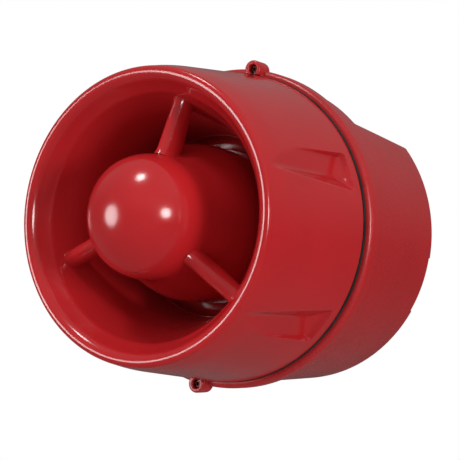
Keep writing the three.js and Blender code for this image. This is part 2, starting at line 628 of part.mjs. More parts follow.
function terminalBlock() {
  const right = TERMINAL_LEFT + TERMINAL_WAYS * TERMINAL_PITCH;
  let body = block(TERMINAL_LEFT, right, ...TERMINAL_Z, 10.9, 21);
  for (let way = 1; way <= TERMINAL_WAYS; way += 1) {
    const x = terminalX(way);
    const cage = block(x - 1.7, x + 1.7, TERMINAL_Z[0] - 1, terminalMiddle + 1.5, 12.2, 15.4);
    body = cut(body, cage, peg(2, 17, 22, x, terminalMiddle), peg(1.2, 15, 18, x, terminalMiddle));
  }
  return body;
}

const terminalScrew = (way) => pan(1.7, 17.3, 19.6, 1, 15.6, terminalX(way), terminalMiddle);

function baseSocket() {
  const body = block(...PLUG_X, ...PLUG_Z, 10.9, 24.2);
  return cut(body, block(PLUG_X[0] + 3.2, PLUG_X[1] - 3.2, -41.3, -38.7, 12.6, 25));
}

// ---- build --------------------------------------------------------------------------------
addPiece('horn_shell', hornShell(), redPlastic);
addPiece('centre_bullet', bullet(), redPlastic);
addPiece('throat_bowl', turned(outline(drawThroat), MEDIUM), darkPlastic);
addPiece('throat_seal', ring(10, 13.6, 75.5, 75.7, 24), rubber);
addPiece('mounting_ring', mountingRing(), redPlastic);
addPiece('horn_gasket', ring(76, 78.9, RING_FRONT + GAP, DRUM_BACK - GAP), rubber);
addPiece('base_gasket', ring(76.3, 78, 74.2, BULKHEAD_BACK - 0.2), rubber);

HORN_BOSS_CLOCKS.forEach((clock, i) => {
  const [x, z] = onClock(HORN_BOSS_CIRCLE, clock);
  addPiece(`horn_screw_${i + 1}`, pan(3.2, 73.1, BULKHEAD_BACK - GAP, 1.55, 91, x, z), zinc);
});
STRUT_CLOCKS.forEach((clock, i) => addPiece(`strut_screw_${i + 1}`, strutScrew(clock), zinc));

for (const [name, [material, make]] of Object.entries(driverPieces)) {
  addPiece(name, make(), material);
}
DRIVER_SCREW_CLOCKS.forEach((clock, i) => {
  const [x, z] = onClock(DRIVER_SCREW_CIRCLE, clock);
  addPiece(`driver_screw_${i + 1}`, pan(2.6, 69.4, 71.4, 1.45, 78, x, z), zinc);
});
addPiece('driver_lead_positive', driverLead(-2), finish(0x9c2026, 0.5));
addPiece('driver_lead_negative', driverLead(2), finish(0x202022, 0.5));

addPiece('head_board', headBoard(), board);
PILLAR_CLOCKS.forEach((clock, i) => addPiece(`board_pillar_${i + 1}`, pillar(clock), brass));
[300, 322].forEach((clock, i) => addPiece(`capacitor_${i + 1}`, capacitor(clock), sleeve));
addPiece('inductor', inductor(), copper);
addPiece('tone_switch_body', switchBody(), blue);
for (let way = 1; way <= SWITCH_WAYS; way += 1) {
  addPiece(`tone_switch_lever_${way}`, switchLever(way), white);
}
addPiece('volume_trimmer_body', trimmerBody(), blue);
addPiece('volume_trimmer_rotor', trimmerRotor(), white);
addPiece('head_plug', headPlug(), blackPlastic);

LUG_CLOCKS.forEach((clock, i) => {
  const end = ['top', 'bottom'][i];
  addPiece(`cover_screw_${end}`, coverScrew(clock), steel);
  addPiece(`screw_seal_${end}`, screwSeal(clock), rubber);
  addPiece(`brass_insert_${end}`, brassInsert(clock), brass);
});

addPiece('base_shell', baseShell(), redPlastic);
addPiece('cable_grommet', cableGrommet(), rubber);
addPiece('conduit_plug', conduitPlug(), redPlastic);
addPiece('terminal_board', terminalBoard(), board);
addPiece('terminal_block', terminalBlock(), green);
for (let way = 1; way <= TERMINAL_WAYS; way += 1) {
  addPiece(`terminal_screw_${way}`, terminalScrew(way), zinc);
}
addPiece('base_socket', baseSocket(), blackPlastic);

export default siren;
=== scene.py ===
"""Looks of a wall-mounted alarm siren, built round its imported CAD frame.

Lengths are millimetres until a mesh is made. "Distance" runs forward from the wall along the
siren's axis (-Y), and a "clock" angle runs from 12 o'clock towards +X, in degrees.
"""
import math

import bpy
import numpy as np
from mathutils import Matrix, Vector


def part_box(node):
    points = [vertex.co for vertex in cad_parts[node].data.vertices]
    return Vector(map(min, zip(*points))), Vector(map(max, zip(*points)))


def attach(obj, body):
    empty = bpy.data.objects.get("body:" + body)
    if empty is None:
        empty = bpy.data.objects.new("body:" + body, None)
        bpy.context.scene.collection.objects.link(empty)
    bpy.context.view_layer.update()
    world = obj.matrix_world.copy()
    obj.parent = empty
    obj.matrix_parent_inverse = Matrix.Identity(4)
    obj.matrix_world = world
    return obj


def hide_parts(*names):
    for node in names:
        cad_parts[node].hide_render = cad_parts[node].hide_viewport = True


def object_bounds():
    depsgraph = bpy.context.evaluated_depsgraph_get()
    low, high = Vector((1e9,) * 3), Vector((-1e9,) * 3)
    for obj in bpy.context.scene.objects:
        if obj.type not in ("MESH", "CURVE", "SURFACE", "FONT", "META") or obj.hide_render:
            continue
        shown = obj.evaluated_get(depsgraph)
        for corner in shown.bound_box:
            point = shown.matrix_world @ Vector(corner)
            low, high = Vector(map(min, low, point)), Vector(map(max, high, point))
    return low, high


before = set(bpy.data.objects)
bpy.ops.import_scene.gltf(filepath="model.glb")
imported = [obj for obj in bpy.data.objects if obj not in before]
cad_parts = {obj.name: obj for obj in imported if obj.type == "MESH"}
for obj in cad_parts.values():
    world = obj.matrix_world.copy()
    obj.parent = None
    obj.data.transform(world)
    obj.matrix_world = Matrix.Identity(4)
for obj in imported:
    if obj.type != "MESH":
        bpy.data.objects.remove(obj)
cad_low, cad_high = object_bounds()
MM = 0.001


# ---- sizes taken from the frame -------------------------------------------------------------
def front_of(node):
    return -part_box(node)[0].y / MM


def back_of(node):
    return -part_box(node)[1].y / MM


def radius_of(node):
    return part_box(node)[1].x / MM


def middle_of(node):
    """(x, z) of the middle of a CAD node."""
    low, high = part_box(node)
    return (low.x + high.x) / 2 / MM, (low.z + high.z) / 2 / MM


GAP = 0.3
RIM_FRONT = front_of("horn_shell")
DRUM_RADIUS = radius_of("horn_shell")
RING_RADIUS = radius_of("mounting_ring")
RING_BACK = back_of("mounting_ring")
RING_FRONT = back_of("horn_gasket") - GAP
DRUM_BACK = front_of("horn_gasket") + GAP
RIM_RADIUS = RING_RADIUS - 13.9
NOSE = front_of("centre_bullet")
COLLAR_RADIUS = radius_of("base_shell")
BULKHEAD_FRONT = back_of("horn_shell") - GAP
BULKHEAD_BACK = front_of("base_gasket") + 0.2
TUBE_FRONT = front_of("throat_bowl")
WALL = 2.6
POCKET_CLOCKS = (60, 120, 240, 300)
STRUT_CLOCKS = (0, 120, 240)
FINE = 240
ROUND = 72
SMOOTH_ANGLE = 32
BOX_FACES = [(0, 1, 3, 2), (4, 6, 7, 5), (0, 4, 5, 1), (2, 3, 7, 6), (0, 2, 6, 4), (1, 5, 7, 3)]


# ---- outlines -------------------------------------------------------------------------------
def curve(*control, steps=12):
    """Points of a Bezier curve, without its first one."""
    t = np.linspace(0, 1, steps + 1)[1:, None]
    n = len(control) - 1
    weights = [math.comb(n, k) * (1 - t) ** (n - k) * t**k for k in range(n + 1)]
    points = sum(weight * np.array(c, float) for weight, c in zip(weights, control))
    return [tuple(p) for p in points]


def rounded(*corners, steps=5, closed=True):
    """An outline of (radius, distance, fillet) corners, each one rounded to its fillet's radius."""
    points = []
    count = len(corners)
    for i, (r, d, fillet) in enumerate(corners):
        here = Vector((r, d))
        if fillet == 0 or (not closed and i in (0, count - 1)):
            points.append((r, d))
            continue
        before = Vector(corners[i - 1][:2]) - here
        after = Vector(corners[(i + 1) % count][:2]) - here
        half = before.angle(after) / 2
        reach = min(fillet / math.tan(half), 0.49 * before.length, 0.49 * after.length)
        start, end = here + before.normalized() * reach, here + after.normalized() * reach
        centre = here + (before.normalized() + after.normalized()).normalized() * (reach / math.cos(half))
        for k in range(steps + 1):
            arm = (start - centre).lerp(end - centre, k / steps).normalized()
            points.append(tuple(centre + arm * (start - centre).length))
    return points


def on_clock(radius, clock):
    return radius * math.sin(math.radians(clock)), radius * math.cos(math.radians(clock))


# ---- meshes ---------------------------------------------------------------------------------
def lattice_faces(rows, columns, wrap_rows):
    """Quads of a grid whose columns close on themselves, and whose rows may."""
    faces = []
    for i in range(rows if wrap_rows else rows - 1):
        for j in range(columns):
            k = (j + 1) % columns
            below = (i + 1) % rows
            faces.append((i * columns + j, i * columns + k, below * columns + k, below * columns + j))
    return faces


def turned(points, sides=FINE, centre=(0, 0)):
    """Turns an outline of (radius, distance) about an axis parallel to the siren's: (vertices, faces).
    An outline that starts and ends on the axis is capped there; any other closes on itself."""
    capped = points[0][0] < 1e-6 and points[-1][0] < 1e-6
    rows = points[1:-1] if capped else points
    angles = np.linspace(0, 2 * math.pi, sides, endpoint=False)
    vertices = [(centre[0] + r * math.sin(a), -d, centre[1] + r * math.cos(a))
                for r, d in rows for a in angles]
    faces = lattice_faces(len(rows), sides, not capped)
    if capped:
        last = (len(rows) - 1) * sides
        vertices += [(centre[0], -points[0][1], centre[1]), (centre[0], -points[-1][1], centre[1])]
        for j in range(sides):
            k = (j + 1) % sides
            faces.append((len(vertices) - 2, k, j))
            faces.append((len(vertices) - 1, last + j, last + k))
    return vertices, faces


def joined(*parts):
    """Several (vertices, faces) as one."""
    vertices, faces = [], []
    for part_vertices, part_faces in parts:
        start = len(vertices)
        vertices += list(part_vertices)
        faces += [tuple(start + i for i in face) for face in part_faces]
    return vertices, faces


def mesh_object(name, part):
    """A new object from (vertices, faces) in millimetres, with outward faces and smooth shading."""
    mesh = bpy.data.meshes.new(name)
    vertices, faces = part
    mesh.from_pydata([Vector(v) * MM for v in vertices], [], faces)
    mesh.validate()
    piece = bpy.data.objects.new(name, mesh)
    bpy.context.scene.collection.objects.link(piece)
    bpy.context.view_layer.objects.active = piece
    bpy.ops.object.mode_set(mode="EDIT")
    bpy.ops.mesh.select_all(action="SELECT")
    bpy.ops.mesh.normals_make_consistent(inside=False)
    bpy.ops.object.mode_set(mode="OBJECT")
    shade(piece)
    return piece


def shade(piece):
    mesh = piece.data
    mesh.polygons.foreach_set("use_smooth", [True] * len(mesh.polygons))
    mesh.set_sharp_from_angle(angle=math.radians(SMOOTH_ANGLE))


def combine(piece, other, operation):
    """Joins or cuts a piece with another object, which is used up."""
    step = piece.modifiers.new("combine", "BOOLEAN")
    step.operation = operation
    step.solver = "EXACT"
    step.object = other
    depsgraph = bpy.context.evaluated_depsgraph_get()
    result = bpy.data.meshes.new_from_object(piece.evaluated_get(depsgraph))
    piece.modifiers.clear()
    piece.data = result
    bpy.data.objects.remove(other)
    shade(piece)
    return piece


def finished(piece, body, nodes, material):
    """Puts a piece on its CAD body, in place of its CAD nodes, with its material."""
    piece.data.materials.clear()
    piece.data.materials.append(material)
    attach(piece, body)
    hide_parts(*nodes)
    return piece


# ---- skins found by stepping along rays from the axis ------------------------------------------
FAR_OUTSIDE = -99


def smooth_least(a, b, blend):
    """The smaller of two distances, eased where they are within blend of each other."""
    near = np.maximum(blend - np.abs(a - b), 0) / blend
    return np.minimum(a, b) - near**2 * blend / 4


def smooth_most(a, b, blend):
    return -smooth_least(-a, -b, blend)


def round_least(a, b, fillet):
    """The smaller of two distances, with a round fillet where both are within its radius."""
    corner = np.hypot(np.maximum(fillet - a, 0), np.maximum(fillet - b, 0))
    return np.maximum(np.minimum(a, b), fillet) - corner


def skin_radius(outside, low, high):
    """The radius where outside(radius) turns from negative to positive, for whole arrays at once."""
    low = np.full_like(high, low)
    for _ in range(36):
        middle = (low + high) / 2
        out = outside(middle) > 0
        high = np.where(out, middle, high)
        low = np.where(out, low, middle)
    return (low + high) / 2


def grid_part(radii, distances, clocks):
    """(vertices, faces) of a closed loop of rows round the axis, from [row, column] arrays."""
    turn = np.radians(clocks)[None, :]
    x = radii * np.sin(turn)
    z = radii * np.cos(turn)
    vertices = np.stack([x, -distances, z], axis=2).reshape(-1, 3)
    return [tuple(v) for v in vertices], lattice_faces(radii.shape[0], radii.shape[1], True)


# ---- horn -------------------------------------------------------------------------------------
# A pocket's floor is turned towards the siren's side. Its two edges are measured across from the
# clock angle the floor faces, with the side's direction as positive.
POCKET_TURN = 15
POCKET_FLOOR = 69.4
POCKET_SHALLOW = -27.1
POCKET_DEEP = -16.2
POCKET_BACK = 87.4
DEEP_DRAFT = 0.85                # lean of the pocket's three walls, across for each step outwards
SHALLOW_DRAFT = 0.1
BACK_DRAFT = 0.1
POCKET_FILLETS = (2.0, 8.0)      # between the floor and the back wall, at the shallow and deep edges
HORN_BOSS_CLOCKS = (45, 135, 225, 315)


def flare_outline(steps=14):
    """The flare's inside face, from just behind the rim to its inner end."""
    crest = (RIM_RADIUS, RIM_FRONT)
    lip = (63.6, 153.6)
    crease = (59.5, 147.4)
    waist = (52.9, 129)
    end = (46, 93.4)
    return (
        curve(crest, (65.4, 156.8), lip, steps=steps)
        + curve(lip, (61.8, 150.4), crease, steps=6)
        + curve(crease, (57.6, 142), (54.6, 135), waist, steps=steps)
        + curve(waist, (50.8, 121), (47.9, 106), end, steps=2 * steps)
    )


def drum_outline():
    """The drum's outside, from its trailing edge forwards to the rim's crest."""
    heel = (DRUM_RADIUS - 1.1, DRUM_BACK)
    side_start = (DRUM_RADIUS - 0.1, DRUM_BACK + 1.3)
    shoulder = (DRUM_RADIUS - 5.6, 140.6)
    brow = (70.9, 154.6)
    trailing = curve(heel, (DRUM_RADIUS, DRUM_BACK), side_start, steps=6)
    side = [(side_start[0] + (shoulder[0] - side_start[0]) * t,
             side_start[1] + (shoulder[1] - side_start[1]) * t)
            for t in side_steps(side_start[1], shoulder[1])]
    front = curve(shoulder, (72.3, 149), (71.2, 152), brow, steps=14)
    crest = curve(brow, (70.5, RIM_FRONT), (RIM_RADIUS, RIM_FRONT), steps=10)
    return [heel] + trailing + side + front + crest


def side_steps(start, end):
    """Shares of the way along the drum: close together round the pockets' rear walls."""
    coarse = np.arange(start + 1.5, end + 0.1, 1.6)
    close = np.arange(POCKET_BACK - 1, POCKET_BACK + 13, 0.35)
    apart = coarse[(coarse < close[0] - 0.3) | (coarse > close[-1] + 0.3)]
    return (np.sort(np.concatenate([apart, close])) - start) / (end - start)


def pocket_clocks():
    """Clock angles of the horn's columns: close together across each pocket."""
    half_span = math.degrees(11 / 76)
    close = np.concatenate([np.linspace(c - half_span, c + half_span, 73) for c in POCKET_CLOCKS])
    coarse = np.arange(0, 360, 1.8)
    distance = np.min(np.abs(coarse[:, None] - np.array(POCKET_CLOCKS)[None, :]), axis=1)
    return np.sort(np.concatenate([close, coarse[distance > half_span + 0.5]]))


def drum_skin(outline_radius, distances, clocks):
    """The drum's radius with its four scooped pockets, their edges and corners eased."""
    def outside(radius):
        value = radius - outline_radius
        for clock in POCKET_CLOCKS:
            side = math.copysign(1, math.sin(math.radians(2 * clock)))
            turn = np.radians(clocks - clock - POCKET_TURN * side)[None, :]
            height = radius * np.cos(turn)
            across = radius * np.sin(turn) * side
            floor = height - POCKET_FLOOR
            deep = (POCKET_DEEP + DEEP_DRAFT * floor - across) / math.hypot(1, DEEP_DRAFT)
            shallow = across - POCKET_SHALLOW + SHALLOW_DRAFT * floor
            rear = distances - POCKET_BACK - BACK_DRAFT * (DRUM_RADIUS - height)
            share = np.clip((across - POCKET_SHALLOW) / (POCKET_DEEP - POCKET_SHALLOW), 0, 1)
            fillet = POCKET_FILLETS[0] + (POCKET_FILLETS[1] - POCKET_FILLETS[0]) * share
            scoop = round_least(floor, rear, fillet)
            scoop = smooth_least(scoop, deep, 1.4)
            scoop = smooth_least(scoop, shallow, 1.2)
            facing = np.cos(turn) > 0
            value = smooth_most(value, np.where(facing, scoop, FAR_OUTSIDE), 0.45)
        return value

    return skin_radius(outside, 60.0, outline_radius)


def horn():
    clocks = pocket_clocks()
    outer = drum_outline()
    inner = flare_outline()
    radius = np.array([r for r, _ in outer])[:, None] * np.ones((1, len(clocks)))
    distance = np.array([d for _, d in outer])[:, None] * np.ones((1, len(clocks)))
    skin = drum_skin(radius, distance, clocks)
    last_cut = sum(d < RIM_FRONT - 2.5 for _, d in outer)
    skin[last_cut:] = radius[last_cut:]
    # The hidden inside follows the outside a wall's thickness in, as far as the shoulder.
    back_rows = [i for i in range(last_cut) if DRUM_BACK + 1 < outer[i][1] < 148][::-3]
    hidden = np.minimum(radius[back_rows] - WALL, skin[back_rows] - 2.2)
    behind_flare = [(r + WALL, d) for r, d in inner if d < 147][::-1]
    fold = curve(behind_flare[-1], (67.5, 152.5), (outer[back_rows[0]][0] - WALL, 149), steps=8)
    ones = np.ones((1, len(clocks)))
    inside = inner + behind_flare + fold
    rows_radius = [skin, np.array([r for r, _ in inside])[:, None] * ones, hidden]
    rows_distance = [distance, np.array([d for _, d in inside])[:, None] * ones, distance[back_rows]]
    shell = grid_part(np.concatenate(rows_radius), np.concatenate(rows_distance), clocks)
    boss = rounded((0, 79, 0), (3.6, 79, 0.3), (3.6, 112, 0), (0, 112, 0), closed=False)
    bosses = [turned(boss, 32, on_clock(53, clock)) for clock in HORN_BOSS_CLOCKS]
    return mesh_object("horn", joined(shell, *bosses))


# ---- centre bullet ------------------------------------------------------------------------------
SKIRT_RADIUS = 30
BELL_RADIUS = 39
BELL_BACK = 88
STRUT_ROOT = Vector((27.4, 142.6))
STRUT_END = Vector((55.8, 137.4))
STRUT_ROOT_HALVES = Vector((4.7, 8.5))
STRUT_END_HALVES = Vector((4.5, 5.7))


def bullet_outline():
    wall = 2.4
    crease = NOSE - 12.8
    cap = curve((0, NOSE), (10.4, NOSE), (20.1, NOSE - 4.7), (26.5, crease), steps=40)
    shoulder = curve((26.5, crease), (28.2, crease - 2.8), (29.6, crease - 7), (SKIRT_RADIUS, 149), steps=20)
    skirt = curve((SKIRT_RADIUS, 147), (30.4, 136), (38.6, 124), (BELL_RADIUS, 112), steps=28)
    edge = curve((BELL_RADIUS, BELL_BACK + 1), (BELL_RADIUS - 1.2, BELL_BACK - 1),
                 (BELL_RADIUS - wall, BELL_BACK + 1), steps=8)
    inside = curve((BELL_RADIUS - wall, 112), (36.2, 124), (28, 136), (SKIRT_RADIUS - wall, 147), steps=20)
    crown = curve((SKIRT_RADIUS - wall, 157), (20, 167.6), (10, NOSE - 2.6), (0, NOSE - 2.6), steps=16)
    return (
        [(0, NOSE)] + cap + shoulder + [(SKIRT_RADIUS, 147)] + skirt + [(BELL_RADIUS, BELL_BACK + 1)] + edge
        + [(BELL_RADIUS - wall, 112)] + inside + [(SKIRT_RADIUS - wall, 157)] + crown
    )


def strut(clock, sides=48):
    """An oval strut from the bullet's skirt to the flare, tapering outwards, swelling at both ends."""
    along = STRUT_END - STRUT_ROOT
    normal = Vector((-along.y, along.x)).normalized()
    turn = math.radians(clock)
    shares = np.concatenate([np.linspace(0.04, 0.3, 12), np.linspace(0.35, 0.84, 10),
                             np.linspace(0.87, 1.06, 10)])
    vertices = []
    for share in shares:
        middle = STRUT_ROOT + along * share
        swell = 1.2 * max(0.0, (0.2 - share) / 0.2) ** 2 + 0.8 * max(0.0, (share - 0.9) / 0.16) ** 2
        halves = STRUT_ROOT_HALVES.lerp(STRUT_END_HALVES, share) + Vector((swell, swell))
        for a in np.linspace(0, 2 * math.pi, sides, endpoint=False):
            point = middle + normal * halves.y * math.cos(a)
            across = halves.x * math.sin(a)
            x = point.x * math.sin(turn) + across * math.cos(turn)
            z = point.x * math.cos(turn) - across * math.sin(turn)
            vertices.append((x, -point.y, z))
    faces = lattice_faces(len(shares), sides, False)
    faces.append(tuple(range(sides))[::-1])
    faces.append(tuple((len(shares) - 1) * sides + j for j in range(sides)))
    return vertices, faces


def drain_slit():
    """A short narrow slit along the crease round the cap, at its lowest point."""
    radius, distance, sides = 27.1, 161.2, 12
    turns = np.radians(np.linspace(158, 174, 12))
    path = [(radius * math.sin(t), -distance, radius * math.cos(t)) for t in turns]
    vertices = []
    for i, (x, y, z) in enumerate(path):
        thick = 0.75 * math.sqrt(max(0.02, 1 - (2 * i / (len(path) - 1) - 1) ** 2))
        out = Vector((x, 0, z)).normalized()
        for a in np.linspace(0, 2 * math.pi, sides, endpoint=False):
            step = out * math.cos(a) * thick
            vertices.append((x + step.x, y + math.sin(a) * thick * 1.6, z + step.z))
    faces = lattice_faces(len(path), sides, False)
    faces.append(tuple(range(sides))[::-1])
    faces.append(tuple((len(path) - 1) * sides + j for j in range(sides)))
    return vertices, faces


def bullet():
    piece = mesh_object("bullet", turned(bullet_outline(), 160))
    for clock in STRUT_CLOCKS:
        combine(piece, mesh_object("strut", strut(clock)), "UNION")
    return combine(piece, mesh_object("slit", drain_slit()), "DIFFERENCE")


def throat():
    back, bowl = back_of("throat_bowl"), 81
    end_radius = radius_of("throat_bowl")
    tube = [(9, back)] + [(9 + 4.4 * t, back + (TUBE_FRONT - back) * t) for t in np.linspace(0.05, 0.98, 20)]
    lip = curve(tube[-1], (14.4, TUBE_FRONT + 0.6), (15.4, TUBE_FRONT - 1), steps=6)
    bottom = curve((15.4, 90), (15.4, 83), (18, bowl), (24, bowl), steps=14)
    slope = [(24 + 18.2 * t, bowl + 3.2 * t) for t in np.linspace(0.04, 1, 12)]
    side = curve((42.2, bowl + 3.2), (44.4, bowl + 3.6), (45.6, 87), (end_radius - 2.6, 92.8), steps=16)
    foot = BULKHEAD_FRONT + 0.4
    under = curve((end_radius, 92.6), (46.6, 83.6), (42, BULKHEAD_FRONT + 0.5), (30, foot), steps=14)
    outline = tube + lip + [(15.4, 90)] + bottom + slope + side + [(end_radius, 92.6)] + under
    return mesh_object("throat", turned(outline + [(11.6, foot), (11.6, back)], 160))


# ---- mounting ring ------------------------------------------------------------------------------
SCREW_CIRCLE = abs(middle_of("cover_screw_top")[1])
LUG_RADIUS = 4.6
LUG_FRONT = 83.3
LUG_BACK = 72.2
SCREW_ENDS = {"top": 0, "bottom": 180}


def ring_outline():
    spigot = (73.6, 75.6)
    hole = 12.2
    return rounded(
        (RING_RADIUS - 2.7, RING_BACK, 0.3), (RING_RADIUS, RING_BACK, 0.8), (RING_RADIUS, RING_FRONT, 2.4),
        (spigot[1], RING_FRONT, 0.3), (spigot[1], 84.5, 0.4), (spigot[0], 84.5, 0.4),
        (spigot[0], BULKHEAD_FRONT, 0.4), (hole, BULKHEAD_FRONT, 0.3), (hole, BULKHEAD_BACK, 0.3),
        (RING_RADIUS - 2.7, BULKHEAD_BACK, 0.3),
    )


def lug(clock):
    """A rounded ear on the ring for one cover screw, as a closed solid to join to the ring."""
    centre = on_clock(SCREW_CIRCLE, clock)
    barrel = rounded((0, LUG_BACK, 0), (LUG_RADIUS, LUG_BACK, 2.6), (LUG_RADIUS, LUG_FRONT, 1.0),
                     (0, LUG_FRONT, 0), steps=8, closed=False)
    piece = mesh_object("lug", turned(barrel, ROUND, centre))
    inner = 78.9 * math.copysign(1, centre[1])
    low, high = sorted((inner, centre[1]))
    back, front = LUG_BACK + 1.6, LUG_FRONT - 1.0
    corners = [(x, -d, z) for x in (-LUG_RADIUS, LUG_RADIUS) for d in (back, front) for z in (low, high)]
    return combine(piece, mesh_object("foot", (corners, BOX_FACES)), "UNION")


def disc_outline(radius, back, front):
    return [(0, back), (radius, back), (radius, front), (0, front)]


def mounting_ring():
    piece = mesh_object("ring", turned(ring_outline()))
    drum_room = disc_outline(DRUM_RADIUS + 0.35, RING_FRONT + 0.1, 90)
    base_room = disc_outline(RING_RADIUS - 2.7, 60, BULKHEAD_BACK - 0.02)
    seat = back_of("screw_seal_top") - 0.15
    bore = rounded((0, 60, 0), (3.3, 60, 0), (3.3, 76.9, 0.4), (1.65, 76.9, 0), (1.65, seat, 0),
                   (2.4, seat, 0), (2.4, LUG_FRONT - 0.5, 0), (3.0, LUG_FRONT + 0.1, 0), (3.0, 90, 0),
                   (0, 90, 0), closed=False)
    for clock in SCREW_ENDS.values():
        ear = lug(clock)
        combine(ear, mesh_object("drum_room", turned(drum_room)), "DIFFERENCE")
        combine(ear, mesh_object("base_room", turned(base_room)), "DIFFERENCE")
        combine(piece, ear, "UNION")
        centre = on_clock(SCREW_CIRCLE, clock)
        combine(piece, mesh_object("bore", turned(bore, 48, centre)), "DIFFERENCE")
    return piece


# ---- base ---------------------------------------------------------------------------------------
BASE_BACK_RADIUS = COLLAR_RADIUS - 1.7
BASE_FRONT_RADIUS = COLLAR_RADIUS - 0.6
BASE_FRONT = 74
FLAT_LENGTH = 52
FLAT_BACK_HEIGHT = 58
FLAT_FRONT_HEIGHT = 63.8
CONDUIT_DISTANCE = 26
BASE_WALL = 3
PRY_NOTCH = (88.5, 110.5)
BOARD_PINS = ((-27, -26), (27, -26), (-2, -45))


def flat_height(distance):
    return FLAT_BACK_HEIGHT + (FLAT_FRONT_HEIGHT - FLAT_BACK_HEIGHT) * distance / FLAT_LENGTH


def base_outline():
    """The base's outside from its back edge to the lip inside the ring."""
    back_edge = curve((BASE_BACK_RADIUS - 1.4, 0), (BASE_BACK_RADIUS, 0), (BASE_BACK_RADIUS, 1.4), steps=6)
    reach = 65.2
    side_ds = np.concatenate([np.arange(1.9, 46, 1.1), np.arange(46, 56, 0.4), np.arange(56, reach, 1.5)])
    side = [(BASE_BACK_RADIUS + (BASE_FRONT_RADIUS - BASE_BACK_RADIUS) * d / reach, d) for d in side_ds]
    collar = rounded((BASE_FRONT_RADIUS, reach, 0.3), (COLLAR_RADIUS, 65.9, 0.3), (COLLAR_RADIUS, 70, 0.7),
                     (RING_RADIUS - 3, 70, 0.1), (RING_RADIUS - 3, BASE_FRONT, 0.4), (76.2, BASE_FRONT, 0),
                     closed=False)
    return [(BASE_BACK_RADIUS - 1.4, 0)] + back_edge + side + collar


def base_clocks():
    """Clock angles of the base's columns: close together at the flat's edges and the pry notch."""
    flat_edge = math.degrees(math.acos(61 / 78.5))
    close = np.concatenate([np.linspace(c - 4, c + 4, 28) for c in (-flat_edge, flat_edge)])
    notch = np.concatenate([np.linspace(c - 0.8, c + 0.8, 9) for c in PRY_NOTCH])
    coarse = np.arange(-180, 180, 1.8)
    special = np.concatenate([close, notch])
    apart = np.min(np.abs(coarse[:, None] - special[None, :]), axis=1)
    return np.sort(np.concatenate([special, coarse[apart > 0.5]]))


def base_skin(radius, distance, clocks, inset=0.0):
    """The base's radius with the conduit flat and the pry notch; inset moves the flat inwards."""
    turn = np.radians(clocks)[None, :]

    def outside(at):
        height = at * np.cos(turn)
        over_flat = height - flat_height(distance) + inset
        before_end = FLAT_LENGTH + inset - distance
        flat = smooth_least(over_flat, before_end, 1.2)
        inside_ends = np.minimum(clocks[None, :] - PRY_NOTCH[0], PRY_NOTCH[1] - clocks[None, :])
        in_notch = inside_ends * math.radians(1) * 77
        notch = np.minimum(np.minimum(at - 77.3, 2 - distance), in_notch)
        value = smooth_most(at - radius, flat, 1.0 if inset == 0 else 0.3)
        return smooth_most(value, notch, 0.25) if inset == 0 else value

    return skin_radius(outside, 40.0, radius)


def peg(radius, back, front, centre):
    """A pin along the siren's axis."""
    return turned(disc_outline(radius, back, front), 48, centre)


def on_flat(outline):
    """An outline of (radius, height above the conduit flat), turned about the flat's own normal."""
    vertices, faces = turned(outline, ROUND)
    slope = math.atan2(FLAT_FRONT_HEIGHT - FLAT_BACK_HEIGHT, FLAT_LENGTH)
    stand = Matrix.Rotation(-math.pi / 2 - slope, 4, "X")
    move = Matrix.Translation((0, -CONDUIT_DISTANCE, flat_height(CONDUIT_DISTANCE)))
    return [tuple(move @ stand @ Vector(v)) for v in vertices], faces


def fixing_holes():
    return [(0, 46), on_clock(62, 120), on_clock(62, 240)]


def base():
    clocks = base_clocks()
    ones = np.ones((1, len(clocks)))
    outer = base_outline()
    radius = np.array([r for r, _ in outer])[:, None] * ones
    distance = np.array([d for _, d in outer])[:, None] * ones
    skin = base_skin(radius, distance, clocks)
    inner_ds = np.concatenate([[73.9], np.arange(73, BASE_WALL + 1, -2.0),
                               [BASE_WALL + 0.8, BASE_WALL + 0.2, BASE_WALL]])
    inner_rs = 75 + 0.9 * inner_ds / 80 - np.clip(BASE_WALL + 0.8 - inner_ds, 0, 0.8)
    inside_distance = inner_ds[:, None] * ones
    inside = base_skin(inner_rs[:, None] * ones, inside_distance, clocks, BASE_WALL)
    part = grid_part(np.concatenate([skin, inside]), np.concatenate([distance, inside_distance]), clocks)
    columns = len(clocks)
    vertices, faces = part
    # The loop's last gap, between the inside's bottom and the back edge, becomes two discs.
    faces = faces[:-columns]
    last = len(vertices) - columns
    vertices += [(0, 0, 0), (0, -BASE_WALL, 0)]
    for j in range(columns):
        k = (j + 1) % columns
        faces.append((len(vertices) - 2, j, k))
        faces.append((len(vertices) - 1, last + k, last + j))
    piece = mesh_object("base", (vertices, faces))
    added = [peg(6, 1, 6, centre) for centre in fixing_holes()]
    added += [peg(3, 2, 8.8, middle) for middle in BOARD_PINS]
    for clock in SCREW_ENDS.values():
        added.append(peg(3, 71, 76.4, on_clock(SCREW_CIRCLE, clock)))
    for part in added:
        combine(piece, mesh_object("boss", part), "UNION")
    countersunk = [(0, -1), (2.9, -1), (2.9, 0), (2.6, 0.3), (2.6, 3.4), (5.2, 6.2), (0, 6.2)]
    for centre in fixing_holes():
        combine(piece, mesh_object("bore", turned(countersunk, 48, centre)), "DIFFERENCE")
    entry = [(0, -1), (10.6, -1), (10.6, 0), (10.2, 0.4), (10.2, 4), (0, 4)]
    combine(piece, mesh_object("bore", turned(entry, ROUND, middle_of("cable_grommet"))), "DIFFERENCE")
    combine(piece, mesh_object("bore", on_flat(disc_outline(10.2, -8, 4))), "DIFFERENCE")
    for clock in SCREW_ENDS.values():
        combine(piece, mesh_object("bore", peg(2.4, 69, 78, on_clock(SCREW_CIRCLE, clock))), "DIFFERENCE")
    return piece


